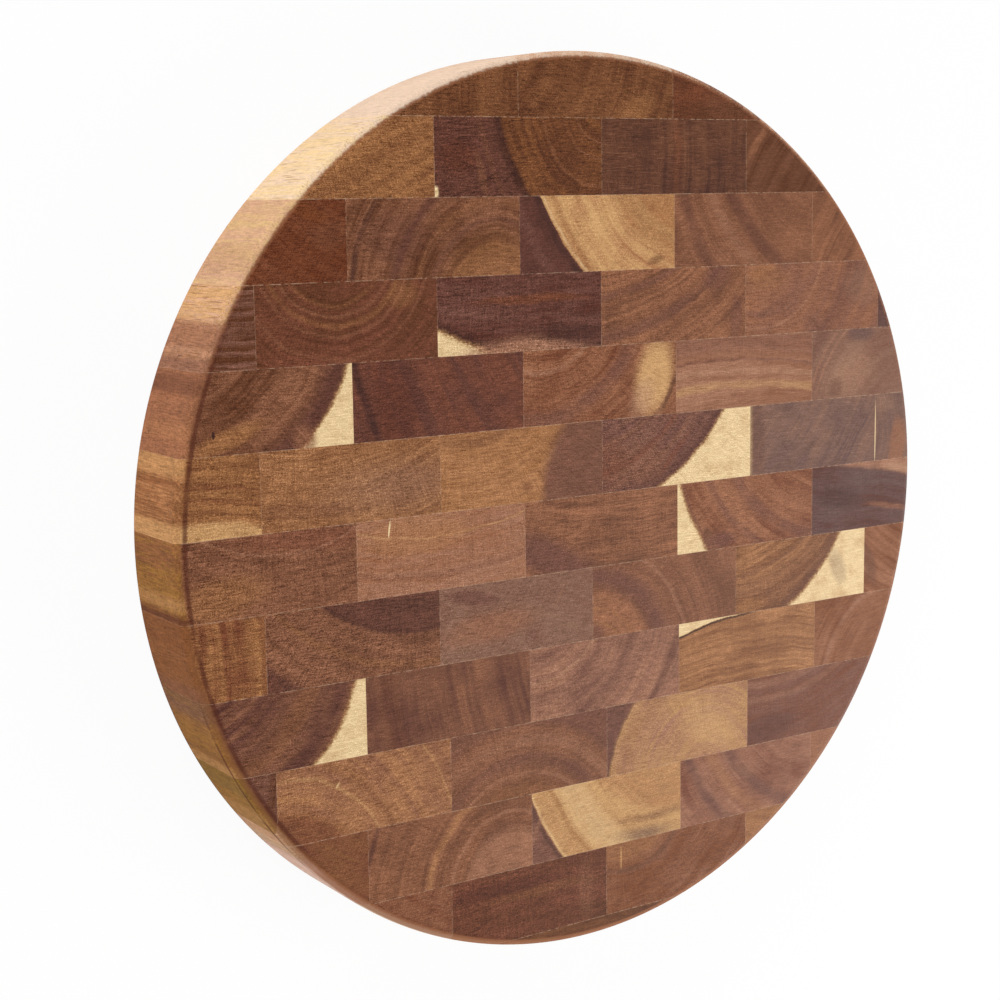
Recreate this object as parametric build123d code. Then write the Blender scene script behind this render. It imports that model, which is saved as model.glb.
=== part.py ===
from build123d import *
from math import ceil, sqrt
import os

os.makedirs("parts", exist_ok=True)

# Round end-grain chopping block, lying flat.
# The origin is the centre of the underside, +Z points up out of the cutting face,
# and the rows of wooden blocks run along X.

# Sizes of the finished board
board_diameter = 360.0
board_thickness = 40.0
edge_round = 4.0

# Sizes of the wooden blocks in the glued-up panel that the disc is sawn from
row_width = 29.7
block_length = 75.8

# The panel isn't centred on the disc: its middle glue line lies this far along Y
middle_line = 5.8

# Where the rim would leave a block or a row less than this, its neighbour reaches the rim
smallest_offcut = 7.0

# How far the saw cuts run past the board, above, below and beside it
cut_overrun = 10.0

# The upright glue joints of each row, the row beside the middle line first.
# A place is a share of the block length, counted along X from the board's centre.
# Every other row steps by about half a block, and the joints stray a little from the mean.
far_joint_shares = [
    (-1.93, -0.93, 0.08, 1.11, 2.07),
    (-1.42, -0.42, 0.58, 1.57),
    (-1.93, -0.93, 0.08, 1.07, 2.08),
    (-1.43, -0.43, 0.57, 1.56),
    (-0.93, 0.09, 1.07),
    (-0.43, 0.56),
]
near_joint_shares = [
    (-1.42, -0.42, 0.59, 1.58),
    (-1.93, -0.95, 0.01, 1.01, 2.00),
    (-1.39, -0.40, 0.60, 1.61),
    (-1.90, -0.90, 0.10, 1.10),
    (-1.40, -0.40, 0.61, 1.59),
    (-0.91, 0.09, 1.09),
    (-0.40, 0.61),
]

board_radius = board_diameter / 2
beyond_rim = board_radius + cut_overrun


# The board as one disc, with a quarter round along both rims
def rounded_disc():
    disc = Cylinder(
        radius=board_radius,
        height=board_thickness,
        align=(Align.CENTER, Align.CENTER, Align.MIN),
    )
    return fillet(disc.edges().filter_by(GeomType.CIRCLE), edge_round)


# The glue line on the middle side of a row; side is 1 for far rows and -1 for near rows
def inner_line(side, row):
    return middle_line + side * (row - 1) * row_width


# How many rows one side holds, down to the thinnest offcut at the rim
def row_count(side):
    depth = board_radius - side * middle_line
    return ceil((depth - smallest_offcut) / row_width)


# A row past the end of the table repeats the joints of the row two further in
def row_shares(table, row):
    rows_past_table = row - len(table)
    if rows_past_table <= 0:
        return table[row - 1]
    return table[-1] if rows_past_table % 2 == 0 else table[-2]


# The ends of a row's blocks from left to right, with whole blocks past the table's joints.
# The outer ends lie past the rim.
def block_ends(shares, half_chord):
    spare_blocks = ceil(board_radius / block_length)
    to_left = [shares[0] - step for step in range(spare_blocks, 0, -1)]
    to_right = [shares[-1] + step for step in range(1, spare_blocks + 1)]
    joints = [share * block_length for share in (*to_left, *shares, *to_right)]
    reach = half_chord - smallest_offcut
    return [-beyond_rim, *[x for x in joints if abs(x) < reach], beyond_rim]


# One block: what the disc holds of a straight-sided cell of the panel
def block(disc, left, right, inner, outer):
    cell = Box(
        right - left,
        abs(outer - inner),
        board_thickness + 2 * cut_overrun,
        align=(Align.MIN, Align.MIN, Align.MIN),
    )
    return disc & Pos(left, min(inner, outer), -cut_overrun) * cell


# The blocks of one row, counted both ways from the joint nearest the board's centre
def row_blocks(disc, side, row, shares):
    inner = inner_line(side, row)
    outer = side * beyond_rim if row == row_count(side) else inner_line(side, row + 1)
    ends = block_ends(shares, sqrt(board_radius**2 - inner**2))
    middle = min(range(len(ends)), key=lambda place: abs(ends[place]))
    blocks = {}
    for place, (left, right) in enumerate(zip(ends[:-1], ends[1:])):
        hand = f"right_{place - middle + 1}" if place >= middle else f"left_{middle - place}"
        blocks[hand] = block(disc, left, right, inner, outer)
    return blocks


# Every block is a piece of its own, named by its row and its place in the row.
# A last row that the disc holds less than half of is only offcuts: one group of separate solids.
def side_pieces(disc, name, side, table):
    pieces = {}
    for row in range(1, row_count(side) + 1):
        blocks = row_blocks(disc, side, row, row_shares(table, row))
        row_name = f"{name}_row_{row}"
        if board_radius - abs(inner_line(side, row)) < row_width / 2:
            solids = [solid for piece in blocks.values() for solid in piece.solids()]
            pieces[f"{row_name}_offcuts"] = Compound(solids)
        else:
            pieces.update({f"{row_name}_{hand}": piece for hand, piece in blocks.items()})
    return pieces


board = rounded_disc()
far_pieces = side_pieces(board, "far", 1, far_joint_shares)
near_pieces = side_pieces(board, "near", -1, near_joint_shares)

for name, piece in {**far_pieces, **near_pieces}.items():
    piece.label = name
    export_step(piece, f"parts/{name}.step")
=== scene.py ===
import bpy
from math import hypot, pi, radians
from mathutils import Matrix, Vector


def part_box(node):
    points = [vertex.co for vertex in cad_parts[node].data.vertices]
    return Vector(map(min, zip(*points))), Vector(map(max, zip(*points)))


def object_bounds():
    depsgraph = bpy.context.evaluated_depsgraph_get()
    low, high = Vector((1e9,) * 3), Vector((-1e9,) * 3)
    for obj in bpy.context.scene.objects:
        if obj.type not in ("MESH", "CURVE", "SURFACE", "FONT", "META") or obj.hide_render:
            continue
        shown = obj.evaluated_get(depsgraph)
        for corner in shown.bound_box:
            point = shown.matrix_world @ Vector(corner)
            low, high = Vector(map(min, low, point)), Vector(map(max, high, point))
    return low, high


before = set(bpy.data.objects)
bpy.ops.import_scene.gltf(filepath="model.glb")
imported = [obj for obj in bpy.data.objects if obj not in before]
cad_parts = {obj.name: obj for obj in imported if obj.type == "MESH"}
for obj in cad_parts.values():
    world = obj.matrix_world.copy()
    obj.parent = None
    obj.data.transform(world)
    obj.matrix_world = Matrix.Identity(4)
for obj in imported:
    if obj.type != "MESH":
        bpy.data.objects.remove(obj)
cad_low, cad_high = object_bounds()

# Looks of a round end-grain chopping block that lies flat, its rows of blocks along X.
# Wood figure is laid out in millimetres in the board's own frame, stage and lamps in metres.
mm_per_m = 1000.0
board_radius = (cad_high.x - cad_low.x) / 2 * mm_per_m
board_thickness = (cad_high.z - cad_low.z) * mm_per_m
edge_round = 4.0

# Sizes below are in millimetres. A swing is how strongly a pattern lightens and darkens the wood.

# What sets one block's patterns apart from the next one's, times the block's number
figure_shift = (53.1, 17.7, 31.3)
finish_shift = (71.3, 29.9, 47.1)

# Growth rings
sway_size = 28.0  # how far apart the slow bends of the rings lie
sway_reach = 5.0
jitter_size = 4.5  # small unevenness along a ring
jitter_reach = 0.9
ring_run = 60.0  # how far a ring keeps its tone along its length
ring_swing = 5.0
thin_lines = ((2.0, 1.2), (1.0, 1.4))  # the gap between thin lines, and their swing
thin_line_run = 25.0
thin_line_patches = 15.0  # times the gap
thin_line_shares = (1.6, 0.3)  # what times the contrast, and plus what, a thin line shows
cloud_size = 17.0
cloud_swing = 1.5

# Marks on the rings. An edge runs from where a look starts to where it is full.
ring_edge = (1.5, 0.2)  # in halves of the ring's width
ring_patches = 13.0
zone_line_gap = 2.4
zone_line_run = 40.0
zone_line_swing = 0.5
zone_cloud_size = 8.0
zone_cloud_swing = 0.7
ragged_size = 1.3
ragged_reach = 2.4
stain_size = 7.0
heart_edge = (1.15, 0.4)  # the dark wood beside sapwood, as shares of its width
gold_edge = (-1.7, 0.4)
gold_edge_share = 0.75
cream_edge = (-0.6, 1.1)
band_edge_size = 1.6
band_edge_reach = 3.2
band_softness = 1.9

# End grain on the faces
grain_size = 0.34
grain_swing = 1.6
mottle_size = 1.3
speck_size = 0.85
speck_stretch = (0.7, 1.0, 1.0)
speck_swing = 0.4
fleck_size = 0.42
fleck_edge = (0.55, 0.72)
fleck_lift = 0.8
fleck_mean = 0.12
pore_sizes = (1.0, 1.0, 9.0)
pore_edge = (0.26, 0.12)  # as shares of the gap between pores
pore_lift = -0.12
halo_edge = (0.5, 0.24)
halo_lift = 0.1
ray_gap = 0.5
ray_run = 9.0
ray_swing = 0.6
scratch_sizes = (9.0, 0.26, 9.0)
scratch_edge = (0.6, 0.7)
scratch_lift = 0.75
brush_sizes = (4.5, 0.36, 4.5)  # fine sanding marks along the rows
brush_swing = 1.3
middle_speckle = 0.92  # how strong all of it is at the board's middle
speckle_fade = 1 / 430  # how much weaker it gets for each millimetre to the right
channel_shares = (0.85, 1.0, 1.15)  # light specks are a little greyer, dark ones redder

# Long grain on the rim, its fibres along Z
fibre_sizes = (0.6, 0.6, 12.0)
fibre_swing = 3.2
broad_streak_sizes = (4.5, 4.5, 90.0)
broad_streak_swing = 2.4
fine_streak_sizes = (0.5, 0.5, 5.0)
fine_streak_swing = 0.9
dash_sizes = (0.5, 0.5, 11.0)
dash_edge = (0.57, 0.76)
figure_on_rim = 0.12
rim_mottle_swing = 0.6
rim_speck_size = 0.6
rim_speck_swing = 0.7
rim_cloud_size = 9.0
rim_cloud_swing = 0.35
long_grain_lift = 1.5  # how much lighter the rim is than the faces where the photo hides it

# Glue lines
rim_margin = 0.5  # a side whose nearest point comes within this of the rim is no joint
glue_half_width = 0.14
glue_edge = (1.4, 0.6)  # times the half width
glue_strengths = {"X": 0.4, "Y": 0.6}  # of the joints in a row, and of those between rows
glue_break_size = 1.4
glue_break_swing = 3.6
glue_cover = 0.45
glue_on_rim = 0.35

# Places on the round edge, by how squarely the wood faces up or down: 1 on a face and 0 on the rim
rim_turn = (0.96, 0.8)
worn_turn = (0.995, 0.95)
fringe_turn = (0.995, 0.96)
fringe_end = (0.78, 0.93)
left_brown_turn = (0.5, 0.72)
near_brown_turn = (0.25, 0.55)

# Worn edges. A stretch runs from where a look starts to where it is full, along Y or as it says.
burnish_inset = edge_round - 0.5
face_line_edge = (1.4, 0.3)
rim_line_edge = (1.2, 0.2)
rim_line_depths = (0.6, 0.2)
worn_patch_size = 12.0
left_stretch = (60.0, -40.0)  # along X
fringe_stretch = (30.0, 75.0)
fringe_share = 0.6
left_brown_stretch = (0.0, -90.0)
left_brown_end = (-130.0, -105.0)
left_brown_share = 0.6
near_brown_stretch = (-106.0, -130.0)
near_brown_share = 0.8
rim_line_stretch = (-40.0, -75.0)
burnish_stretch = (100.0, 55.0)
burnish_end = (-105.0, -135.0)
burnish_share = 0.75

# Oiled wood
plain_roughness = 0.48
rim_roughness = 0.8
relief_height = 0.05
relief_strength = 0.6
shine = 0.095

# Wood tones, as red, green and blue from 0 to 255. The pale grey-pink tone after blush is no wood tone but
# a painted highlight, the grazing sheen on the lower left rim
TONES = {
    "cream": (230, 200, 152), "shell": (224, 197, 173), "blush": (204, 160, 130),
    "painted_sheen": (202, 168, 160), "butter": (208, 172, 122), "straw": (204, 158, 106),
    "gold": (182, 136, 88), "sand": (178, 134, 104), "amber": (168, 116, 76), "honey": (152, 102, 62),
    "tan": (160, 112, 86), "peach": (150, 98, 68), "bronze": (140, 98, 44), "moss": (122, 90, 38),
    "clay": (138, 90, 64), "dun": (135, 98, 79), "rose": (122, 80, 64), "hazel": (126, 80, 48),
    "copper": (112, 60, 26), "rosewood": (116, 66, 46), "russet": (112, 62, 38), "brick": (94, 44, 18),
    "brown": (110, 68, 46), "olive": (116, 70, 38), "umber": (88, 48, 26), "mauve": (106, 66, 54),
    "plum": (88, 50, 40), "maroon": (78, 36, 24), "cocoa": (62, 32, 24), "slate": (100, 72, 66),
    "ink": (50, 26, 22), "glue": (196, 164, 136),
}


def linear(tone):
    """A named tone as the linear colour that a shader takes."""
    colour = []
    for part in TONES[tone]:
        share = part / 255
        colour.append(share / 12.92 if share <= 0.04045 else ((share + 0.055) / 1.055) ** 2.4)
    return (*colour, 1.0)


class Tree:
    """Writes one node tree. Every value is a socket of the tree or a plain number."""

    def __init__(self, tree):
        self.tree = tree

    def add(self, kind, inputs=None, **settings):
        made = self.tree.nodes.new(kind)
        for name, value in settings.items():
            setattr(made, name, value)
        for key, value in (inputs or {}).items():
            if isinstance(value, bpy.types.NodeSocket):
                self.tree.links.new(value, made.inputs[key])
            else:
                made.inputs[key].default_value = value
        return made

    def math(self, operation, *values, clamp=False):
        made = self.add("ShaderNodeMath", dict(enumerate(values)), operation=operation, use_clamp=clamp)
        return made.outputs[0]

    def total(self, first, *others):
        for other in others:
            first = self.math("ADD", first, other)
        return first

    def product(self, first, *others):
        for other in others:
            first = self.math("MULTIPLY", first, other)
        return first

    def vector(self, operation, *values):
        made = self.add("ShaderNodeVectorMath", dict(enumerate(values)), operation=operation)
        return made.outputs["Value" if operation in ("LENGTH", "DOT_PRODUCT") else "Vector"]

    def scaled(self, value, factor):
        made = self.add("ShaderNodeVectorMath", {"Vector": value, "Scale": factor}, operation="SCALE")
        return made.outputs["Vector"]

    def flat(self, value):
        return self.vector("MULTIPLY", value, (1.0, 1.0, 0.0))

    def distance(self, first, second):
        return self.vector("LENGTH", self.vector("SUBTRACT", first, second))

    def parts(self, value):
        return self.add("ShaderNodeSeparateXYZ", {0: value}).outputs

    def joined(self, x, y, z):
        return self.add("ShaderNodeCombineXYZ", {0: x, 1: y, 2: z}).outputs[0]

    def shifted(self, place, shift, seed):
        """The place, moved by a block's own amount, so that no two blocks share a pattern."""
        return self.vector("ADD", place, self.scaled(self.joined(*shift), seed))

    def noise(self, place, size, detail=2.0, colour=False):
        made = self.add("ShaderNodeTexNoise", {"Vector": place, "Scale": 1 / size, "Detail": detail})
        return made.outputs["Color" if colour else "Fac"]

    def stretched_noise(self, place, sizes, detail=1.0):
        """Noise with a size of its own along each axis."""
        return self.noise(self.vector("DIVIDE", place, sizes), 1.0, detail)

    def spread(self, value, reach):
        """A pattern around a half, as a swing of up to reach either way."""
        return self.math("MULTIPLY", self.math("SUBTRACT", value, 0.5), reach)

    def step(self, value, low, high):
        """Rises smoothly from 0 at low to 1 at high. It falls instead where low is more than high."""
        made = self.add(
            "ShaderNodeMapRange",
            {"Value": value, "From Min": low, "From Max": high},
            interpolation_type="SMOOTHSTEP",
        )
        return made.outputs[0]

    def mix(self, factor, first, second, blend="MIX"):
        words = {0: factor, 6: first, 7: second}
        return self.add("ShaderNodeMix", words, data_type="RGBA", blend_type=blend).outputs[2]

    def blend(self, factor, first, second):
        return self.add("ShaderNodeMix", {0: factor, 2: first, 3: second}, data_type="FLOAT").outputs[0]

    def brightness(self, colour):
        return self.add("ShaderNodeRGBToBW", {0: colour}).outputs[0]

    def group(self, made_group, inputs):
        return self.add("ShaderNodeGroup", inputs, node_tree=made_group).outputs


KINDS = {"number": "NodeSocketFloat", "vector": "NodeSocketVector", "colour": "NodeSocketColor"}


def new_group(name, inputs, outputs):
    """A node group with the named sockets of each kind, its Tree, and its input sockets by name."""
    made = bpy.data.node_groups.new(name, "ShaderNodeTree")
    for words, way in ((inputs, "INPUT"), (outputs, "OUTPUT")):
        for kind, sockets in words.items():
            for socket in sockets:
                made.interface.new_socket(socket, in_out=way, socket_type=KINDS[kind])
    tree = Tree(made)
    return made, tree, tree.add("NodeGroupInput").outputs


def figure_group():
    """Growth rings around a pith, and the bent place that marks on the same wood follow."""
    made, tree, given = new_group(
        "wood figure",
        {
            "vector": ("Place", "Pith"),
            "number": ("Seed", "Spacing", "Contrast"),
            "colour": ("Dark", "Light"),
        },
        {"colour": ("Colour",), "vector": ("Bent",)},
    )
    slow_along_fibres = tree.vector("MULTIPLY", given["Place"], (1.0, 1.0, 0.12))
    own = tree.shifted(slow_along_fibres, figure_shift, given["Seed"])
    sway = tree.vector("SUBTRACT", tree.noise(own, sway_size, colour=True), (0.5, 0.5, 0.5))
    jitter = tree.vector("SUBTRACT", tree.noise(own, jitter_size, colour=True), (0.5, 0.5, 0.5))
    bend = tree.vector("ADD", tree.scaled(sway, sway_reach), tree.scaled(jitter, jitter_reach))
    bent = tree.flat(tree.vector("ADD", given["Place"], bend))
    radius = tree.distance(bent, given["Pith"])
    along = tree.parts(own)
    ring_place = tree.joined(
        tree.math("DIVIDE", radius, given["Spacing"]),
        tree.math("DIVIDE", along["X"], ring_run),
        tree.math("DIVIDE", along["Y"], ring_run),
    )
    swing = tree.product(tree.spread(tree.noise(ring_place, 1.0), ring_swing), given["Contrast"])
    line_share = tree.math("MULTIPLY_ADD", given["Contrast"], *thin_line_shares)
    for gap, line_swing in thin_lines:
        across = tree.math("DIVIDE", radius, gap)
        line_place = tree.joined(across, tree.math("DIVIDE", along["X"], thin_line_run), gap)
        shown = tree.step(tree.noise(own, thin_line_patches * gap), 0.35, 0.65)
        lines = tree.spread(tree.noise(line_place, 1.0, 1.0), line_swing)
        swing = tree.total(swing, tree.product(lines, shown, line_share))
    swing = tree.total(swing, tree.spread(tree.noise(own, cloud_size, 3.0), cloud_swing))
    tone = tree.math("ADD", swing, 0.5, clamp=True)
    colour = tree.mix(tone, given["Dark"], given["Light"])
    tree.add("NodeGroupOutput", {"Colour": colour, "Bent": bent})
    return made


def mark_group(name, vectors=(), numbers=()):
    """A new group for one kind of mark, which changes the colour that it is given."""
    words = {"colour": ("Colour", "Tone"), "vector": ("Bent", *vectors), "number": ("Strength", *numbers)}
    return new_group(name, words, {"colour": ("Colour",)})


def give_toned(tree, given, share):
    """Ends a mark's group: the colour that it was given, with this share of the mark's tone over it."""
    share = tree.product(share, given["Strength"])
    tree.add("NodeGroupOutput", {"Colour": tree.mix(share, given["Colour"], given["Tone"])})


def ring_group():
    """One growth ring of another tone, uneven in strength along its length."""
    made, tree, given = mark_group("wood ring", ("Around",), ("Radius", "Half"))
    radius = tree.distance(given["Bent"], given["Around"])
    off = tree.math("ABSOLUTE", tree.math("SUBTRACT", radius, given["Radius"]))
    share = tree.step(tree.math("DIVIDE", off, given["Half"]), *ring_edge)
    uneven = tree.math("ADD", tree.spread(tree.noise(given["Bent"], ring_patches), 2.4), 0.9, clamp=True)
    give_toned(tree, given, tree.product(share, uneven))
    return made


def zone_group():
    """All wood past a radius, or inside it where the softness is below nothing, in another tone."""
    made, tree, given = mark_group("wood zone", ("Around",), ("Radius", "Softness"))
    radius = tree.distance(given["Bent"], given["Around"])
    low = tree.math("SUBTRACT", given["Radius"], given["Softness"])
    high = tree.math("ADD", given["Radius"], given["Softness"])
    share = tree.product(tree.step(radius, low, high), given["Strength"])
    across = tree.math("DIVIDE", radius, zone_line_gap)
    along = tree.math("DIVIDE", tree.parts(given["Bent"])["Y"], zone_line_run)
    lines = tree.spread(tree.noise(tree.joined(across, along, 3.7), 1.0), zone_line_swing)
    clouds = tree.spread(tree.noise(given["Bent"], zone_cloud_size, 3.0), zone_cloud_swing)
    worked = tree.scaled(given["Tone"], tree.total(lines, clouds, 1.0))
    tree.add("NodeGroupOutput", {"Colour": tree.mix(share, given["Colour"], worked)})
    return made


def sapwood_group():
    """Pale sapwood past a radius, with a ragged edge and dark heartwood beside it."""
    made, tree, given = mark_group("wood sapwood", ("Around",), ("Radius", "Edge", "Soft"))
    stray = tree.spread(tree.noise(given["Bent"], ragged_size), ragged_reach)
    ragged = tree.total(tree.product(stray, given["Soft"]), given["Radius"])
    radius = tree.distance(given["Bent"], given["Around"])
    past = tree.math("SUBTRACT", radius, ragged)
    crossed = tree.math("DIVIDE", past, given["Soft"])
    depth = tree.product(given["Edge"], -1.0)
    dark = tree.product(tree.step(tree.math("DIVIDE", past, depth), *heart_edge), given["Strength"])
    colour = tree.mix(dark, given["Colour"], given["Tone"])
    stain = tree.step(tree.noise(given["Bent"], stain_size, 3.0), 0.45, 0.8)
    cream = tree.mix(tree.product(stain, 0.45), linear("cream"), linear("gold"))
    gold = tree.product(tree.step(crossed, *gold_edge), gold_edge_share)
    colour = tree.mix(gold, colour, linear("gold"))
    tree.add("NodeGroupOutput", {"Colour": tree.mix(tree.step(crossed, *cream_edge), colour, cream)})
    return made


def patch_group():
    """A soft oval patch of another tone."""
    made, tree, given = mark_group("wood patch", ("Centre", "Size"), ("Turn", "Soft"))
    turned = tree.add(
        "ShaderNodeVectorRotate",
        {"Vector": given["Bent"], "Center": given["Centre"], "Angle": given["Turn"]},
        rotation_type="Z_AXIS",
        invert=True,
    )
    off = tree.vector("SUBTRACT", turned.outputs[0], given["Centre"])
    far = tree.vector("LENGTH", tree.vector("DIVIDE", off, given["Size"]))
    low = tree.math("ADD", given["Soft"], 1.0)
    high = tree.math("SUBTRACT", 1.0, given["Soft"])
    give_toned(tree, given, tree.step(far, low, high))
    return made


def band_group():
    """A band of another tone across the rim, between two places along Y."""
    made, tree, given = mark_group("rim band", numbers=("Low", "High"))
    across = tree.parts(given["Bent"])["Y"]
    rise = tree.math("SUBTRACT", across, given["Low"])
    fall = tree.math("SUBTRACT", given["High"], across)
    uneven = tree.spread(tree.noise(tree.flat(given["Bent"]), band_edge_size), band_edge_reach)
    inside = tree.total(tree.math("MINIMUM", rise, fall), uneven)
    give_toned(tree, given, tree.step(inside, -band_softness, band_softness))
    return made


def end_grain(tree, given, own, slow, grain, pores, scratch):
    """The figure under specks, pores, rays and sanding marks, which show less where the wood is pale."""
    specks = tree.noise(tree.vector("MULTIPLY", slow, speck_stretch), speck_size, 1.0)
    brushed = tree.stretched_noise(own, brush_sizes)
    off_pith = tree.flat(tree.vector("SUBTRACT", given["Place"], given["Pith"]))
    outward = tree.add("ShaderNodeVectorMath", {0: off_pith}, operation="NORMALIZE").outputs["Vector"]
    fan = tree.scaled(outward, tree.math("DIVIDE", given["Reach"], ray_gap))
    along_ray = tree.math("DIVIDE", tree.vector("LENGTH", off_pith), ray_run)
    rays = tree.noise(tree.vector("ADD", fan, tree.joined(0.0, 0.0, along_ray)), 1.0, 1.0)

    fleck = tree.step(tree.noise(slow, fleck_size, 1.0), *fleck_edge)
    lift = tree.math("SUBTRACT", tree.product(fleck, fleck_lift), fleck_mean)
    pore = tree.step(pores, *pore_edge)
    halo = tree.math("SUBTRACT", tree.step(pores, *halo_edge), pore)
    lift = tree.total(
        lift,
        tree.spread(grain, grain_swing),
        tree.spread(specks, speck_swing),
        tree.spread(brushed, brush_swing),
        tree.spread(rays, ray_swing),
        tree.product(halo, halo_lift),
        tree.product(pore, pore_lift),
    )
    calm = tree.blend(tree.step(tree.brightness(given["Colour"]), 0.12, 0.5), 1.0, 0.42)
    across = tree.parts(given["Place"])["X"]
    weaker_to_right = tree.math("MULTIPLY_ADD", across, -speckle_fade, middle_speckle)
    lift = tree.product(lift, given["Speckle"], calm, weaker_to_right)
    lift = tree.total(lift, tree.product(scratch, scratch_lift))
    channels = []
    for share in channel_shares:
        channels.append(tree.math("MAXIMUM", tree.math("MULTIPLY_ADD", lift, share, 1.0), 0.2))
    return tree.mix(1.0, given["Colour"], tree.joined(*channels), "MULTIPLY")


def long_grain(tree, given, own, fibres, broad, mottle):
    """Streaks along the fibres on the rim, with short dark dashes."""
    streaks = tree.total(tree.spread(fibres, fibre_swing), tree.spread(broad, broad_streak_swing))
    tone = tree.mix(tree.math("ADD", streaks, 0.5, clamp=True), given["Long Dark"], given["Long Light"])
    lift = tree.total(
        tree.spread(mottle, rim_mottle_swing),
        tree.spread(tree.noise(own, rim_speck_size, 1.0), rim_speck_swing),
        tree.spread(tree.stretched_noise(own, fine_streak_sizes), fine_streak_swing),
        tree.spread(tree.noise(own, rim_cloud_size), rim_cloud_swing),
    )
    calm = tree.blend(tree.step(tree.brightness(tone), 0.2, 0.5), 1.35, 0.45)
    colour = tree.scaled(tone, tree.total(tree.product(lift, calm), 1.0))
    colour = tree.mix(figure_on_rim, colour, given["Colour"])
    dashes = tree.step(tree.stretched_noise(own, dash_sizes), *dash_edge)
    return tree.mix(tree.product(dashes, given["Dashes"]), colour, linear("hazel"))


def worn_edges(tree, given, facing, mottle, colour):
    """Browner wood where the round edges are rubbed, and the burnished lines beside them."""
    at = tree.parts(given["Place"])
    on_turn = tree.step(facing, *worn_turn)
    fringe = tree.product(
        tree.step(facing, *fringe_turn), tree.step(facing, *fringe_end),
        tree.step(mottle, 0.35, 0.6),
        tree.step(at["Y"], *fringe_stretch),
        fringe_share,
    )
    colour = tree.mix(fringe, colour, linear("peach"))
    left = tree.step(at["X"], *left_stretch)
    left_brown = tree.product(
        tree.step(facing, *left_brown_turn), on_turn,
        tree.step(at["Y"], *left_brown_stretch), tree.step(at["Y"], *left_brown_end),
        left, left_brown_share,
    )
    colour = tree.mix(left_brown, colour, linear("hazel"))
    near_brown = tree.product(
        tree.step(facing, *near_brown_turn), on_turn,
        tree.step(at["Y"], *near_brown_stretch), near_brown_share,
    )
    colour = tree.mix(near_brown, colour, linear("peach"))

    out = tree.vector("LENGTH", tree.flat(given["Place"]))
    off_face_edge = tree.math("ABSOLUTE", tree.math("SUBTRACT", out, board_radius - burnish_inset))
    height = tree.math("ABSOLUTE", tree.math("SUBTRACT", at["Z"], board_thickness / 2))
    rim_line_height = board_thickness / 2 - burnish_inset
    off_rim_edge = tree.math("ABSOLUTE", tree.math("SUBTRACT", height, rim_line_height))
    face_line = tree.step(off_face_edge, *face_line_edge)
    rim_line = tree.product(
        tree.step(off_rim_edge, *rim_line_edge),
        tree.step(out, *[board_radius - depth for depth in rim_line_depths]),
        tree.step(at["Y"], *rim_line_stretch),
    )
    burnish = tree.product(
        tree.math("MAXIMUM", face_line, rim_line),
        tree.step(tree.noise(given["Place"], worn_patch_size), 0.2, 0.55),
        burnish_share,
        tree.step(at["Y"], *burnish_stretch),
        left,
        tree.blend(tree.step(at["Y"], *burnish_end), 1.0, 0.2),
    )
    return tree.mix(burnish, colour, linear("maroon"))


def glue_line(tree, given):
    """How strongly a glue line shows, half on each side of a joint; those between rows show most."""
    low_gap = tree.parts(tree.vector("SUBTRACT", given["Place"], given["Glue Low"]))
    high_gap = tree.parts(tree.vector("SUBTRACT", given["Glue High"], given["Place"]))
    shown = []
    for axis, strength in glue_strengths.items():
        gap = tree.math("MINIMUM", low_gap[axis], high_gap[axis])
        near = tree.step(gap, *[glue_half_width * share for share in glue_edge])
        shown.append(tree.product(near, strength))
    return tree.math("MAXIMUM", *shown)


def finish_group():
    """End grain or long grain over a block's figure, then worn edges, glue lines, gloss and relief."""
    made, tree, given = new_group(
        "wood finish",
        {
            "vector": ("Place", "Pith", "Glue Low", "Glue High"),
            "number": ("Reach", "Seed", "Dashes", "Speckle", "Scratches"),
            "colour": ("Colour", "Long Dark", "Long Light"),
        },
        {"colour": ("Colour",), "number": ("Roughness",), "vector": ("Normal",)},
    )
    own = tree.shifted(given["Place"], finish_shift, given["Seed"])
    slow = tree.vector("MULTIPLY", own, (1.0, 1.0, 0.1))
    facing = tree.math("ABSOLUTE", tree.parts(tree.add("ShaderNodeNewGeometry").outputs["Normal"])["Z"])
    mottle = tree.noise(own, mottle_size)
    side = tree.step(tree.total(facing, tree.spread(mottle, 0.18)), *rim_turn)
    grain = tree.noise(slow, grain_size)
    fibres = tree.stretched_noise(own, fibre_sizes, 3.0)
    broad = tree.stretched_noise(own, broad_streak_sizes, 2.0)
    pore_place = tree.vector("DIVIDE", own, pore_sizes)
    cells = tree.add("ShaderNodeTexVoronoi", {"Vector": pore_place, "Scale": 1.0}, feature="F1")
    pores = cells.outputs["Distance"]
    scratch = tree.step(tree.stretched_noise(own, scratch_sizes), *scratch_edge)
    scratch = tree.product(scratch, given["Scratches"])

    end_colour = end_grain(tree, given, own, slow, grain, pores, scratch)
    long_colour = long_grain(tree, given, own, fibres, broad, mottle)
    colour = tree.mix(side, end_colour, long_colour)
    colour = worn_edges(tree, given, facing, mottle, colour)

    line = glue_line(tree, given)
    broken = tree.spread(tree.noise(given["Place"], glue_break_size, 3.0), glue_break_swing)
    broken = tree.math("ADD", broken, glue_cover, clamp=True)
    broken = tree.product(broken, tree.blend(side, 1.0, glue_on_rim))
    colour = tree.mix(tree.product(line, broken), colour, linear("glue"))

    pore = tree.step(pores, *pore_edge)
    rough = tree.total(
        tree.spread(grain, 0.16),
        tree.spread(broad, 0.12),
        tree.product(scratch, 0.12),
        tree.product(pore, 0.15),
        tree.product(side, rim_roughness - plain_roughness),
        plain_roughness,
    )
    relief = tree.total(
        tree.spread(fibres, 0.5),
        tree.product(pore, -1.0),
        tree.product(scratch, -0.5),
        tree.product(line, 0.3),
    )
    height = relief_height / mm_per_m
    bump = tree.add("ShaderNodeBump", {"Height": relief, "Distance": height, "Strength": relief_strength})
    tree.add("NodeGroupOutput", {"Colour": colour, "Roughness": rough, "Normal": bump.outputs[0]})
    return made


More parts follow.
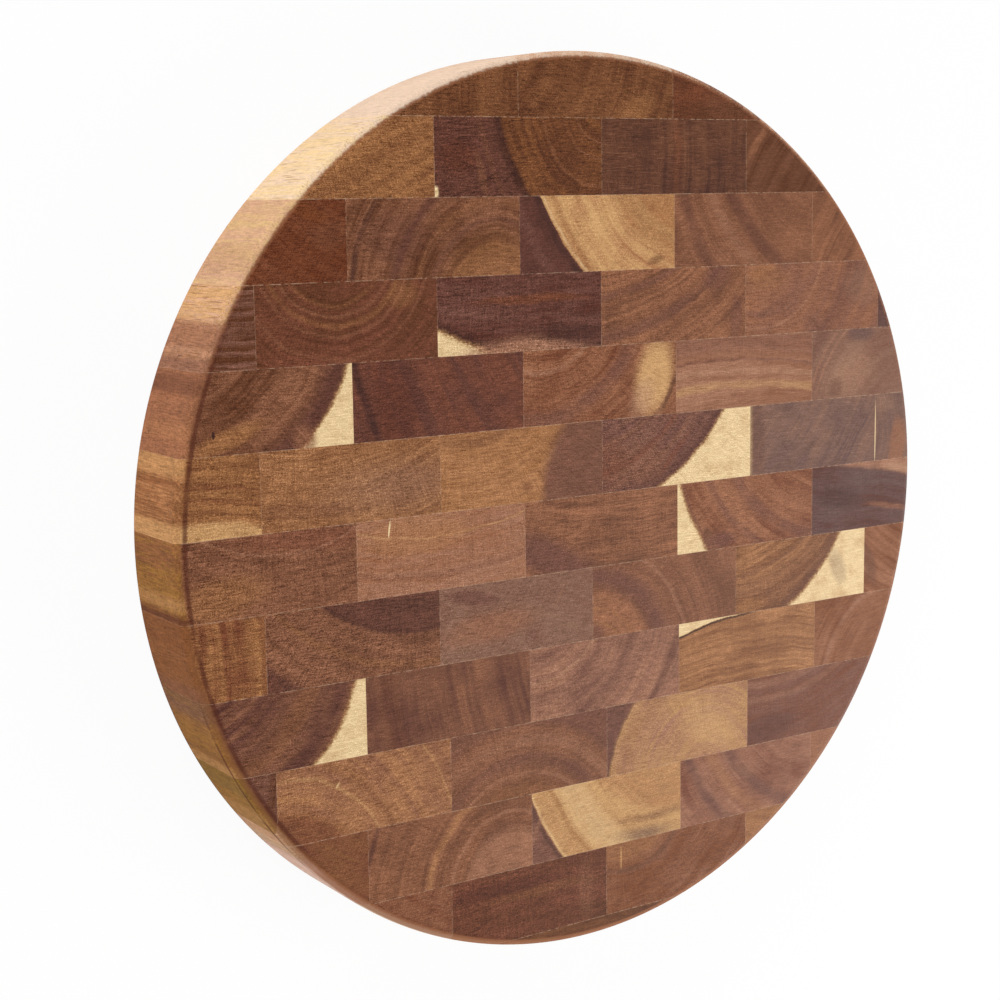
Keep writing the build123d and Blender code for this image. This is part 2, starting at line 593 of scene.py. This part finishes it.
GROUPS = {
    "figure": figure_group(),
    "ring": ring_group(),
    "zone": zone_group(),
    "sapwood": sapwood_group(),
    "patch": patch_group(),
    "band": band_group(),
    "finish": finish_group(),
}
GROUPS["line"] = GROUPS["patch"]


# Marks on a block's figure. Places and sizes are in millimetres, and a mark runs round the
# block's own pith unless it has a centre of its own.
def ring(radius, half, tone, strength, around=None):
    """A ring of another tone, with half its width."""
    return "ring", around, {"Radius": radius, "Half": half, "Tone": linear(tone), "Strength": strength}


def beyond(radius, softness, tone, strength, around=None):
    """All the wood outside a radius."""
    words = {"Radius": radius, "Softness": softness, "Tone": linear(tone), "Strength": strength}
    return "zone", around, words


def within(radius, softness, tone, strength, around=None):
    """All the wood inside a radius."""
    return beyond(radius, -softness, tone, strength, around)


def sapwood(radius, edge, tone, strength, around=None, soft=1.0):
    """Cream wood outside a radius, and inside it an edge of dark wood of that width and tone."""
    words = {"Radius": radius, "Edge": edge, "Tone": linear(tone), "Strength": strength, "Soft": soft}
    return "sapwood", around, words


def patch(x, y, long, short, turn, tone, strength, soft=0.45):
    """An oval with its two half lengths, turned by degrees."""
    words = {"Centre": (x, y, 0.0), "Size": (long, short, 1.0), "Turn": radians(turn), "Soft": soft}
    words.update({"Tone": linear(tone), "Strength": strength})
    return "patch", None, words


def line(*words):
    """A straight mark, such as a filled crack, that doesn't follow the rings."""
    return ("line", *patch(*words)[1:])


class Wood:
    """One block's wood: the tones that its rings run between, its pith, what marks it, and its rim."""

    def __init__(
        self, dark, light, pith, *marks,
        spacing=3.5, contrast=0.3, speckle=1.0, scratches=0.25, dashes=0.3, rim=(), rim_bands=(),
    ):
        self.dark = dark
        self.light = light
        self.pith = pith
        self.marks = marks
        self.spacing = spacing
        self.contrast = contrast
        self.speckle = speckle
        self.scratches = scratches
        self.dashes = dashes
        self.rim = rim
        self.rim_bands = rim_bands


# The blocks row by row from the far side, each row from left to right. The order counts, because a
# block's patterns hang on its number. A rim band is its far edge, its near edge, a tone and a strength.
# Painted shade: the tones are the wood as lit, so part of the light's fall across the board is in them,
# the far rows a little darker and the near rows a little lighter than their wood
BLOCKS = {
    "far_row_6_left_1": Wood(
        "umber", "hazel", (-250, 170), spacing=6, speckle=1.4, rim=("shell", "shell"),
    ),
    "far_row_6_right_1": Wood(
        "umber", "hazel", (-70, 200), patch(25, 158, 9, 5, 30, "honey", 0.5),
        spacing=5, speckle=1.4, rim=("blush", "shell"),
    ),
    "far_row_6_right_2": Wood(
        "umber", "russet", (60, 420), patch(70, 160, 12, 6, 0, "brown", 0.4),
        spacing=5, speckle=1.5, rim=("rose", "blush"),
    ),
    "far_row_5_left_2": Wood(
        "hazel", "honey", (-157, 277), spacing=3, contrast=0.45, speckle=1.25, dashes=0.5,
        rim=("shell", "cream"),
    ),
    "far_row_5_left_1": Wood(
        "umber", "olive", (8, 158), beyond(50, 2, "plum", 0.85), patch(-60, 140, 8, 6, 0, "brick", 0.3),
        patch(-50, 133, 1.6, 9, 15, "brown", 0.6), ring(50, 2, "cocoa", 0.85), ring(58, 1.4, "brown", 0.4),
        ring(14, 0.5, "clay", 0.35), ring(20, 0.5, "clay", 0.3), ring(30, 0.6, "clay", 0.3),
        patch(-70, 126, 1.3, 2.4, 0, "cream", 0.9),
        spacing=2.8, contrast=0.5, speckle=1.6, scratches=0.7,
    ),
    "far_row_5_right_1": Wood(
        "cocoa", "brown", (-200, 140), ring(245, 2.5, "russet", 0.4),
        spacing=9, contrast=0.25, speckle=1.25, scratches=1.0,
    ),
    "far_row_5_right_2": Wood(
        "umber", "brown", (190, 70), ring(128, 1, "clay", 0.5), patch(87.5, 145, 7, 1.8, 48, "peach", 0.5),
        spacing=4, contrast=0.5, rim=("tan", "blush"),
    ),
    "far_row_4_left_2": Wood(
        "brick", "russet", (-57, 212), patch(-123, 121, 8, 3, -20, "copper", 0.5),
        patch(-114, 112, 9, 5, 0, "brown", 0.4),
        spacing=2.5, contrast=0.35, speckle=1.1, rim=("butter", "blush"),
        rim_bands=((108, 98, "sand", 0.4),),
    ),
    "far_row_4_left_1": Wood(
        "umber", "clay", (-43, 86), ring(64, 1.5, "cocoa", 0.75), ring(55, 1.2, "clay", 0.4),
        ring(47, 2.2, "plum", 0.7), ring(37, 1.7, "hazel", 0.5), within(24, 5, "honey", 0.45),
        ring(23, 1.6, "umber", 0.6), ring(30, 1.2, "plum", 0.5), patch(-88, 110, 14, 9, 0, "plum", 0.35),
        contrast=0.35,
    ),
    "far_row_4_right_1": Wood(
        "amber", "straw", (62, 152), within(57, 4, "honey", 0.6), ring(83, 2.2, "honey", 0.6),
        ring(85.8, 0.5, "cream", 0.4, (58, 158)), beyond(87, 0.4, "plum", 1.0, (58, 158)),
        ring(89, 1.6, "ink", 0.6, (58, 158)), ring(98, 2.5, "mauve", 0.7, (58, 158)),
        patch(34, 98.5, 4, 1.6, 10, "umber", 0.5),
        spacing=3, contrast=0.35,
    ),
    "far_row_4_right_2": Wood(
        "brown", "clay", (130, 150), ring(86, 3, "plum", 0.6), ring(62, 3.2, "plum", 0.6),
        ring(71, 2.4, "tan", 0.4), patch(108, 104, 9, 6, 40, "peach", 0.4),
        spacing=6, contrast=0.35,
    ),
    "far_row_4_right_3": Wood("brown", "peach", (250, 20), spacing=6),
    "far_row_3_left_3": Wood(
        "umber", "rose", (-160, 300), spacing=2, contrast=0.9, dashes=0.8, rim=("straw", "blush"),
        rim_bands=((82, 60, "tan", 0.8), (80, 72, "clay", 0.6), (69, 64, "rose", 0.7)),
    ),
    "far_row_3_left_2": Wood(
        "umber", "rosewood", (-114, 108), ring(35, 1.1, "maroon", 0.25), ring(29.5, 1.2, "honey", 0.35),
        ring(22, 0.9, "honey", 0.2), ring(26, 0.7, "clay", 0.45), ring(33, 0.7, "clay", 0.4),
        ring(41, 0.8, "clay", 0.35), patch(-85, 89, 6, 4, 20, "honey", 0.35),
        spacing=2.0, contrast=0.36,
    ),
    "far_row_3_left_1": Wood(
        "maroon", "mauve", (-20, 400), patch(-27, 85, 24, 1.8, 0, "russet", 0.8),
        sapwood(150, 5, "cocoa", 0.6, (-12, 212), soft=1.3), patch(-34, 66.5, 19, 4.5, 0, "tan", 0.6, 0.6),
        patch(-9, 71, 17, 3.5, 0, "cocoa", 0.6), patch(-31, 65.3, 29, 3.4, 0, "tan", 0.7),
        spacing=3, contrast=0.35, speckle=1.5,
    ),
    "far_row_3_right_1": Wood(
        "brown", "peach", (0, 168), ring(84.3, 1.6, "mauve", 0.6), ring(100, 2.6, "mauve", 0.6),
        patch(66, 91, 7, 6, 40, "mauve", 0.6), patch(76, 73, 3.5, 9, 0, "mauve", 0.5),
        spacing=2.6, contrast=0.4, speckle=1.25,
    ),
    "far_row_3_right_2": Wood(
        "rose", "peach", (88, 106), ring(38.4, 0.6, "tan", 0.6), ring(55, 6, "mauve", 0.6),
        patch(92, 90, 10, 5, 0, "honey", 0.4), patch(150, 84, 12, 8, 0, "dun", 0.4),
        speckle=1.35,
    ),
    "far_row_3_right_3": Wood(
        "plum", "slate", (250, 80), spacing=4, contrast=0.4, rim=("mauve", "clay"),
    ),
    "far_row_2_left_2": Wood(
        "umber", "clay", (-180, 92), patch(-160, 41, 15, 3.5, 18, "honey", 0.85),
        sapwood(76, 11, "plum", 0.85), patch(-128, 39, 4.5, 5.5, 20, "clay", 0.75),
        line(-164, 43, 0.6, 1.4, 0, "ink", 0.9, 0.2),
        spacing=4, rim=("clay", "peach"), rim_bands=((64, 57, "plum", 0.55), (48, 42, "amber", 0.3)),
    ),
    "far_row_2_left_1": Wood(
        "plum", "rosewood", (20, 95), patch(-90, 48, 9, 16, 15, "maroon", 0.5),
        ring(130.7, 2, "ink", 0.65), ring(90, 1, "plum", 0.5),
        spacing=5, contrast=0.35, speckle=1.2,
    ),
    "far_row_2_right_1": Wood(
        "russet", "peach", (-24, 88), ring(31.5, 1, "tan", 0.7), ring(50, 3.6, "mauve", 0.7),
        patch(32, 52, 8.5, 15, -15, "straw", 0.9, 0.4), patch(26, 43, 5, 8, -30, "sand", 0.5, 0.6),
        ring(77, 1, "plum", 0.6), patch(39, 44, 1.2, 9, -25, "umber", 0.55),
        spacing=2.2, contrast=0.4, speckle=1.3,
    ),
    "far_row_2_right_2": Wood(
        "clay", "tan", (72, -190), ring(241.5, 1.6, "sand", 0.4), ring(236, 1.8, "straw", 0.42),
        ring(246, 0.7, "mauve", 0.5), beyond(249, 3, "rose", 0.5),
        spacing=2.2, contrast=0.4, scratches=0.6,
    ),
    "far_row_2_right_3": Wood(
        "rose", "dun", (172, 25), ring(52, 0.8, "tan", 0.5), ring(55.5, 0.8, "tan", 0.5),
        ring(61, 3, "mauve", 0.5), patch(142, 46, 13, 9, 20, "sand", 0.4, 0.7),
        patch(148, 63, 8, 3.5, 0, "slate", 0.7), patch(133, 40, 4, 4, 0, "plum", 0.4),
    ),
    "far_row_1_left_3": Wood(
        "hazel", "honey", (-172, -60), within(72.5, 1.5, "straw", 0.75), ring(80, 1.4, "russet", 0.5),
        ring(85, 1.2, "russet", 0.4),
        spacing=2.4, contrast=0.6, rim=("hazel", "amber"),
        rim_bands=((37, 29, "gold", 0.6), (13, 4, "gold", 0.75), (27, 25, "russet", 0.3)),
    ),
    "far_row_1_left_2": Wood(
        "hazel", "amber", (-125, 139), patch(-128, 12, 20, 3.5, -3, "brown", 0.4),
        patch(-90, 18, 26, 9, 0, "dun", 0.4, 0.8),
        spacing=1.7, speckle=1.1,
    ),
    "far_row_1_left_1": Wood(
        "honey", "amber", (-58, 62), ring(31, 2.5, "brown", 0.5), within(37, 3.5, "mauve", 0.85, (14, 10)),
        patch(-27, 12, 4, 3.5, 0, "amber", 0.8), patch(-31, 11.4, 2.5, 1.6, 0, "russet", 0.5),
        spacing=2.2, contrast=0.45, speckle=1.1,
    ),
    "far_row_1_right_1": Wood(
        "mauve", "rose", (-6, 76), patch(25, 15, 16, 9, 0, "clay", 0.4),
        patch(9, 18, 8, 9, 0, "russet", 0.4), ring(54, 1.2, "clay", 0.4), ring(64, 1.5, "rosewood", 0.6),
        ring(71, 1.2, "clay", 0.35), sapwood(83.7, 7, "plum", 0.6, (-2, 80)),
        patch(43, 19, 11, 1.3, 50, "rosewood", 0.6),
        spacing=3, contrast=0.8, speckle=2.0,
    ),
    "far_row_1_right_2": Wood(
        "slate", "dun", (-60, 160), patch(88, 20, 4, 18, 0, "plum", 0.4),
        line(84.2, 20, 1.1, 18, 0, "butter", 0.4, 0.9),
        spacing=6, contrast=0.25, scratches=0.6,
    ),
    "far_row_1_right_3": Wood(
        "slate", "dun", (120, 20), patch(170.5, 12, 5, 11, -8, "peach", 0.65, 0.3),
        patch(160, 31, 9, 4, 0, "sand", 0.2), line(157.2, 18, 0.35, 13, 0, "cream", 0.8, 0.3),
        spacing=5, rim=("brown", "peach"),
    ),
    "near_row_1_left_2": Wood(
        "brown", "clay", (-137, 60), patch(-164, -16, 18, 7, 8, "honey", 0.55),
        patch(-130, 2.5, 26, 4.5, -3, "rosewood", 0.55), ring(62.8, 0.6, "tan", 0.4),
        spacing=2.8, contrast=0.35, speckle=1.15, rim=("hazel", "bronze"),
        rim_bands=((-14, -19, "gold", 0.4), (-20.5, -26, "maroon", 0.8)),
    ),
    "near_row_1_left_1": Wood(
        "peach", "tan", (-72, 150), patch(-82, -1, 22, 7, 0, "amber", 0.5), ring(168, 1.4, "rose", 0.4),
        ring(152.6, 0.5, "straw", 0.3), line(-93.5, 2, 0.4, 3.2, -8, "cream", 0.95, 0.2),
        spacing=2.2, contrast=0.35,
    ),
    "near_row_1_right_1": Wood(
        "brown", "peach", (20, 150), patch(-20, -18, 23, 8, -26, "mauve", 0.85),
        spacing=1.9, speckle=1.25, scratches=0.6,
    ),
    "near_row_1_right_2": Wood(
        "russet", "peach", (135, 45), ring(70, 3.2, "mauve", 0.6), ring(83, 2.2, "mauve", 0.5),
        ring(58, 3, "peach", 0.5), sapwood(96.4, 3, "plum", 0.5, (138, 34)),
        patch(60.5, -16.5, 2.2, 2.6, 0, "brown", 0.85), patch(68, -20.5, 8, 3.6, 0, "mauve", 0.7),
        spacing=4.5, contrast=0.45, speckle=1.4, scratches=0.6,
    ),
    "near_row_1_right_3": Wood(
        "plum", "slate", (108, -297), beyond(303.8, 1.2, "tan", 0.95),
        patch(166, -15.5, 12, 1.4, -12, "clay", 0.6), patch(136, -8, 13, 5, -5, "cocoa", 0.45),
        patch(171, 2.5, 8, 2, -8, "sand", 0.6),
        spacing=5, contrast=0.6, scratches=0.6,
    ),
    "near_row_2_left_3": Wood(
        "russet", "honey", (-300, -40), contrast=0.4, speckle=1.2, rim=("olive", "hazel"),
        rim_bands=((-48, -56, "slate", 0.25),),
    ),
    "near_row_2_left_2": Wood(
        "brown", "clay", (-80, 30), within(70, 1.5, "plum", 0.8), ring(69, 1, "cocoa", 0.4),
        ring(82, 1.4, "honey", 0.35), beyond(98, 1.5, "plum", 0.75),
        spacing=3, contrast=0.35, speckle=1.4,
    ),
    "near_row_2_left_1": Wood(
        "rose", "dun", (120, 160), patch(-50, -42, 21, 6, 8, "peach", 0.5),
        patch(-57, -29, 11, 3, -8, "mauve", 0.75), patch(-15, -32, 6, 0.7, 62, "tan", 0.3),
        spacing=5, contrast=0.25, speckle=0.95,
    ),
    "near_row_2_right_1": Wood(
        "brown", "clay", (2, -62), within(27, 3, "peach", 0.85), ring(33.5, 5, "mauve", 0.8),
        ring(46, 1, "tan", 0.45), ring(20, 0.6, "honey", 0.5), ring(14, 0.6, "honey", 0.5),
        patch(1, -52, 5, 4, 0, "mauve", 0.7),
        spacing=4.5, contrast=0.35, scratches=0.6,
    ),
    "near_row_2_right_2": Wood(
        "hazel", "amber", (75, 30), ring(67, 1.2, "brown", 0.6), beyond(70, 5, "brown", 0.5),
        patch(84, -50, 9, 3.5, 0, "honey", 0.6), sapwood(91, 6, "plum", 0.5, (60, 24)),
        patch(135, -40, 4, 8, 20, "slate", 0.35),
        spacing=2.4, contrast=0.5, speckle=1.4,
    ),
    "near_row_2_right_3": Wood(
        "copper", "peach", (225, 60), patch(155, -40, 3.5, 9, 20, "brown", 0.7),
        contrast=0.6, rim=("brown", "amber"),
    ),
    "near_row_3_left_2": Wood(
        "plum", "clay", (-180, -28), ring(57, 4, "hazel", 0.5), ring(47, 2.2, "plum", 0.6),
        ring(69.5, 4, "plum", 0.9), sapwood(75.5, 2, "brown", 0.5),
        spacing=4.5, contrast=0.35, speckle=1.1, rim=("hazel", "bronze"),
        rim_bands=(
            (-62, -86, "bronze", 0.5), (-50, -62, "slate", 0.45), (-75, -77, "umber", 0.35),
            (-79, -90, "gold", 0.4),
        ),
    ),
    "near_row_3_left_1": Wood(
        "plum", "clay", (90, -40), ring(187, 5, "maroon", 0.35),
        spacing=5, contrast=0.2, speckle=0.8,
    ),
    "near_row_3_right_1": Wood(
        "rose", "tan", (-25, -37), ring(31, 0.8, "sand", 0.3), ring(50, 2.4, "mauve", 0.6),
        ring(72.5, 2.2, "plum", 0.7),
        spacing=2.4,
    ),
    "near_row_3_right_2": Wood(
        "hazel", "amber", (82, -260), sapwood(400.4, 1.3, "ink", 0.9, (119, -452), soft=0.3),
        spacing=1.8, contrast=0.4, scratches=0.6,
    ),
    "near_row_3_right_3": Wood("copper", "peach", (168, -92), ring(40, 1.4, "tan", 0.6), contrast=0.25),
    "near_row_4_left_3": Wood(
        "umber", "rose", (-300, -60), spacing=4, contrast=0.35, speckle=1.2, rim=("moss", "bronze"),
        rim_bands=((-80, -93, "moss", 0.75), (-99, -112, "gold", 0.35)),
    ),
    "near_row_4_left_2": Wood(
        "clay", "amber", (-140, -130), within(30, 3, "russet", 0.7), ring(42.5, 0.8, "straw", 0.28),
        ring(48.5, 2, "hazel", 0.5), ring(63, 2, "amber", 0.4), ring(70, 2.5, "clay", 0.5),
        ring(75, 0.5, "straw", 0.25), line(-118.5, -93, 0.5, 1.3, -35, "butter", 0.7, 0.3),
        contrast=0.35, speckle=1.05, rim=("moss", "bronze"), rim_bands=((-104, -118, "blush", 0.6),),
    ),
    "near_row_4_left_1": Wood(
        "brown", "clay", (-35, -141), within(35, 3, "hazel", 0.5), ring(43.5, 3, "mauve", 0.6),
        ring(51.5, 2.6, "tan", 0.4), beyond(58, 2, "mauve", 0.6), ring(37.5, 0.8, "tan", 0.4),
        patch(-55, -98, 16, 14, 0, "clay", 0.35),
        spacing=3, contrast=0.35,
    ),
    "near_row_4_right_1": Wood(
        "tan", "gold", (59, -119), ring(43, 5, "clay", 0.4), ring(50.7, 0.7, "ink", 0.5),
        beyond(51, 0.5, "mauve", 0.95), patch(62, -100, 14, 9, -30, "straw", 0.45),
    ),
    "near_row_4_right_2": Wood(
        "russet", "rose", (95, -1), ring(86, 2, "tan", 0.4), ring(92.5, 1.5, "tan", 0.35),
        patch(94, -107, 17, 6, 8, "plum", 0.6), patch(112, -100, 9, 4, -20, "russet", 0.4),
        spacing=4.5, contrast=0.35,
    ),
    # Painted highlight: its rim tones are made paler, and the grey-pink band laid over them, for the
    # grazing sheen on this stretch of the rim
    "near_row_5_left_2": Wood(
        "rosewood", "hazel", (-57, -26), spacing=3, speckle=0.8, rim=("blush", "shell"),
        rim_bands=((-112, -122, "bronze", 0.5), (-119, -150, "painted_sheen", 0.5)),
    ),
    "near_row_5_left_1": Wood(
        "brown", "peach", (-40, -147), within(22.5, 3, "tan", 0.5), ring(24, 1, "brown", 0.4),
        ring(34, 2, "brown", 0.7), ring(29, 0.9, "tan", 0.45), ring(39.5, 1.6, "amber", 0.8),
        ring(56, 3, "brown", 0.4), ring(69.5, 1.6, "plum", 0.8),
        spacing=3, contrast=0.25, speckle=0.85,
    ),
    "near_row_5_right_1": Wood(
        "gold", "straw", (62, -80), within(57, 3, "amber", 0.6, (45, -75)), ring(80, 7, "cream", 0.3),
        ring(94, 4, "amber", 0.4), ring(89, 1.3, "honey", 0.6), ring(98.2, 0.5, "cream", 0.3),
        beyond(99, 0.4, "rose", 1.0), ring(100.3, 0.9, "ink", 0.5),
        patch(-27, -128, 1, 7, -20, "tan", 0.4), patch(31, -133.5, 15, 1.6, 0, "brown", 0.6, 0.9),
        patch(28, -140, 12, 2.6, 0, "slate", 0.65, 0.9),
        spacing=2.8, contrast=0.4,
    ),
    "near_row_5_right_2": Wood(
        "rosewood", "tan", (128, -82), ring(83.6, 3, "mauve", 0.85), ring(63, 3.4, "mauve", 0.8),
        ring(72, 3, "amber", 0.45),
        spacing=8,
    ),
    "near_row_5_right_3": Wood("clay", "peach", (250, -160), spacing=4),
    # Painted highlight: its rim tones are made paler for the grazing sheen on this stretch of the rim
    "near_row_6_left_2": Wood(
        "russet", "clay", (-20, -60), spacing=3, contrast=0.35, rim=("shell", "shell"),
    ),
    "near_row_6_left_1": Wood(
        "umber", "rosewood", (-30, -500), patch(-45, -150, 26, 3.5, 0, "maroon", 0.5),
        patch(-25, -154.5, 26, 2, 0, "hazel", 0.4), patch(-4, -158, 4, 12, 0, "clay", 0.35),
        contrast=0.25, speckle=1.4, rim=("sand", "blush"),
    ),
    "near_row_6_right_1": Wood(
        "copper", "clay", (15, -115), within(36, 4, "honey", 0.5), ring(40, 1.6, "brown", 0.85),
        ring(47, 3, "copper", 0.5), line(14.5, -149, 0.4, 5, 0, "gold", 0.9, 0.3),
        patch(64, -158, 12, 3.5, 25, "copper", 0.6),
    ),
    "near_row_6_right_2": Wood("hazel", "amber", (120, -60), spacing=4),
    "near_row_7_offcuts": Wood(
        "umber", "hazel", (0, -400), spacing=4, contrast=0.4, rim=("russet", "blush"),
    ),
}


def empty_tree(holder):
    """The node tree of a material or a world, emptied."""
    holder.use_nodes = True
    holder.node_tree.nodes.clear()
    return Tree(holder.node_tree)


def block_box(node):
    """A block's low and high corner, in millimetres."""
    return [corner * mm_per_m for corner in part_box(node)]


def nearest(low, high):
    """How near to 0 the stretch from low to high comes."""
    return 0.0 if low < 0 < high else min(abs(low), abs(high))


def glue_face(place, beside, way):
    """Where a side of a block is glued, which is out of reach for a side at the rim."""
    glued = hypot(place, beside) < board_radius - rim_margin
    return place if glued else place + way * board_radius


def glue_faces(node):
    """The low and the high corner of a block's glue faces."""
    low, high = block_box(node)
    near_x = nearest(low.x, high.x)
    near_y = nearest(low.y, high.y)
    low_corner = (glue_face(low.x, near_y, -1), glue_face(low.y, near_x, -1), 0.0)
    return low_corner, (glue_face(high.x, near_y, 1), glue_face(high.y, near_x, 1), 0.0)


def marked_figure(tree, wood, place, pith, seed):
    """A block's rings with its marks over them, and the bent place that they follow."""
    figure = tree.group(
        GROUPS["figure"],
        {
            "Place": place, "Pith": pith, "Seed": seed,
            "Spacing": wood.spacing, "Contrast": wood.contrast,
            "Dark": linear(wood.dark), "Light": linear(wood.light),
        },
    )
    colour = figure["Colour"]
    straight = tree.flat(place)
    for kind, around, words in wood.marks:
        inputs = {"Colour": colour, "Bent": straight if kind == "line" else figure["Bent"], **words}
        if kind not in ("patch", "line"):
            inputs["Around"] = (*around, 0.0) if around else pith
        colour = tree.group(GROUPS[kind], inputs)["Colour"]
    return colour, figure["Bent"]


def rim_tones(tree, wood, bent):
    """The dark and the light tone of a block's long grain, with the bands that cross the rim."""
    if wood.rim:
        dark, light = [linear(tone) for tone in wood.rim]
    else:
        dark = linear(wood.light)
        light = (*[part * long_grain_lift for part in dark[:3]], 1.0)
    for top, bottom, tone, strength in wood.rim_bands:
        band = {"Bent": bent, "Tone": linear(tone), "Strength": strength, "Low": bottom, "High": top}
        light = tree.group(GROUPS["band"], {"Colour": light, **band})["Colour"]
        dark = tree.group(GROUPS["band"], {"Colour": dark, **band})["Colour"]
    return dark, light


def wood_material(node, wood, seed):
    """End grain on the faces and long grain on the rim of one block."""
    made = bpy.data.materials.new(f"wood_{node}")
    tree = empty_tree(made)
    place = tree.scaled(tree.add("ShaderNodeTexCoord").outputs["Object"], mm_per_m)
    pith = (*wood.pith, 0.0)
    colour, bent = marked_figure(tree, wood, place, pith, seed)
    rim_dark, rim_light = rim_tones(tree, wood, bent)
    low, high = block_box(node)
    glue_low, glue_high = glue_faces(node)
    finish = tree.group(
        GROUPS["finish"],
        {
            "Place": place, "Pith": pith, "Seed": seed,
            "Reach": hypot((low.x + high.x) / 2 - pith[0], (low.y + high.y) / 2 - pith[1]),
            "Colour": colour, "Long Dark": rim_dark, "Long Light": rim_light,
            "Glue Low": glue_low, "Glue High": glue_high,
            "Speckle": wood.speckle, "Scratches": wood.scratches, "Dashes": wood.dashes,
        },
    )
    shader = tree.add(
        "ShaderNodeBsdfPrincipled",
        {
            "Base Color": finish["Colour"], "Specular IOR Level": shine,
            "Roughness": finish["Roughness"], "Normal": finish["Normal"],
        },
    )
    tree.add("ShaderNodeOutputMaterial", {"Surface": shader.outputs[0]})
    return made


for seed, (node, wood) in enumerate(BLOCKS.items()):
    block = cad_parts[node]
    material = wood_material(node, wood, float(seed))
    for slot in block.material_slots:
        slot.material = material


# Stage: a plain pale floor and white all round, in metres
floor_half = 4.0
floor_tone = 0.9
floor_glow = 0.94  # how much of the floor that the camera sees is plain white
sky_level = 0.36
white = (1.0, 1.0, 1.0, 1.0)


def seen_white(tree):
    """1 where the camera, a mirror or glass looks, so that what they see can be plain white."""
    rays = tree.add("ShaderNodeLightPath").outputs
    seen = tree.math("MAXIMUM", rays["Is Camera Ray"], rays["Is Glossy Ray"])
    return tree.math("MAXIMUM", seen, rays["Is Transmission Ray"])


def floor_material():
    made = bpy.data.materials.new("floor")
    tree = empty_tree(made)
    matt = tree.add("ShaderNodeBsdfDiffuse", {"Color": (floor_tone, floor_tone, floor_tone, 1.0)})
    glow = tree.add("ShaderNodeEmission", {"Color": white, "Strength": 1.0})
    share = tree.product(seen_white(tree), floor_glow)
    both = tree.add("ShaderNodeMixShader", {0: share, 1: matt.outputs[0], 2: glow.outputs[0]})
    tree.add("ShaderNodeOutputMaterial", {"Surface": both.outputs[0]})
    return made


def add_floor():
    mesh = bpy.data.meshes.new("floor")
    corners = [(x * floor_half, y * floor_half, 0.0) for x, y in ((-1, -1), (1, -1), (1, 1), (-1, 1))]
    mesh.from_pydata(corners, [], [(0, 1, 2, 3)])
    mesh.materials.append(floor_material())
    floor = bpy.data.objects.new("floor", mesh)
    bpy.context.scene.collection.objects.link(floor)


def add_sky():
    world = bpy.data.worlds.new("studio")
    bpy.context.scene.world = world
    tree = empty_tree(world)
    level = tree.blend(seen_white(tree), sky_level, 1.0)
    sky = tree.add("ShaderNodeBackground", {"Color": white, "Strength": level})
    tree.add("ShaderNodeOutputWorld", {"Surface": sky.outputs[0]})


def add_lamp(name, place, size, level):
    """A square soft box that faces the board. Its level is a share of plain daylight, as thrown there."""
    lamp = bpy.data.lights.new(name, "AREA")
    lamp.shape = "SQUARE"
    lamp.size = size
    lamp.energy = level * pi**2 * Vector(place).length_squared
    holder = bpy.data.objects.new(name, lamp)
    holder.location = place
    holder.rotation_euler = (-Vector(place)).to_track_quat("-Z", "Y").to_euler()
    bpy.context.scene.collection.objects.link(holder)


add_floor()
add_sky()
add_lamp("rim_lamp", place=(-0.75, 1.25, 0.55), size=0.9, level=0.7)
add_lamp("face_lamp", place=(1.05, -0.5, 0.62), size=0.8, level=0.835)
add_lamp("side_lamp", place=(-1.3, -0.9, 0.3), size=0.8, level=0.48)

# Camera, to the left of the board and above it, turned so that +Y is up in the picture
camera_place = Vector((-0.4487, 0.1241, 0.6520))
camera_view = Vector((0.54526, -0.15612, -0.8236))
camera_up = Vector((0.09868, 0.98763, -0.12188))
lens = 68.83
sensor = 36.0


def add_camera():
    shot = bpy.data.cameras.new("camera")
    shot.lens = lens
    shot.sensor_width = sensor
    holder = bpy.data.objects.new("camera", shot)
    back = -camera_view.normalized()
    right = camera_up.cross(back).normalized()
    up = back.cross(right)
    turn = Matrix((right, up, back)).transposed()
    holder.matrix_world = Matrix.Translation(camera_place) @ turn.to_4x4()
    bpy.context.scene.collection.objects.link(holder)
    bpy.context.scene.camera = holder


add_camera()
bpy.context.scene.view_settings.view_transform = "Standard"
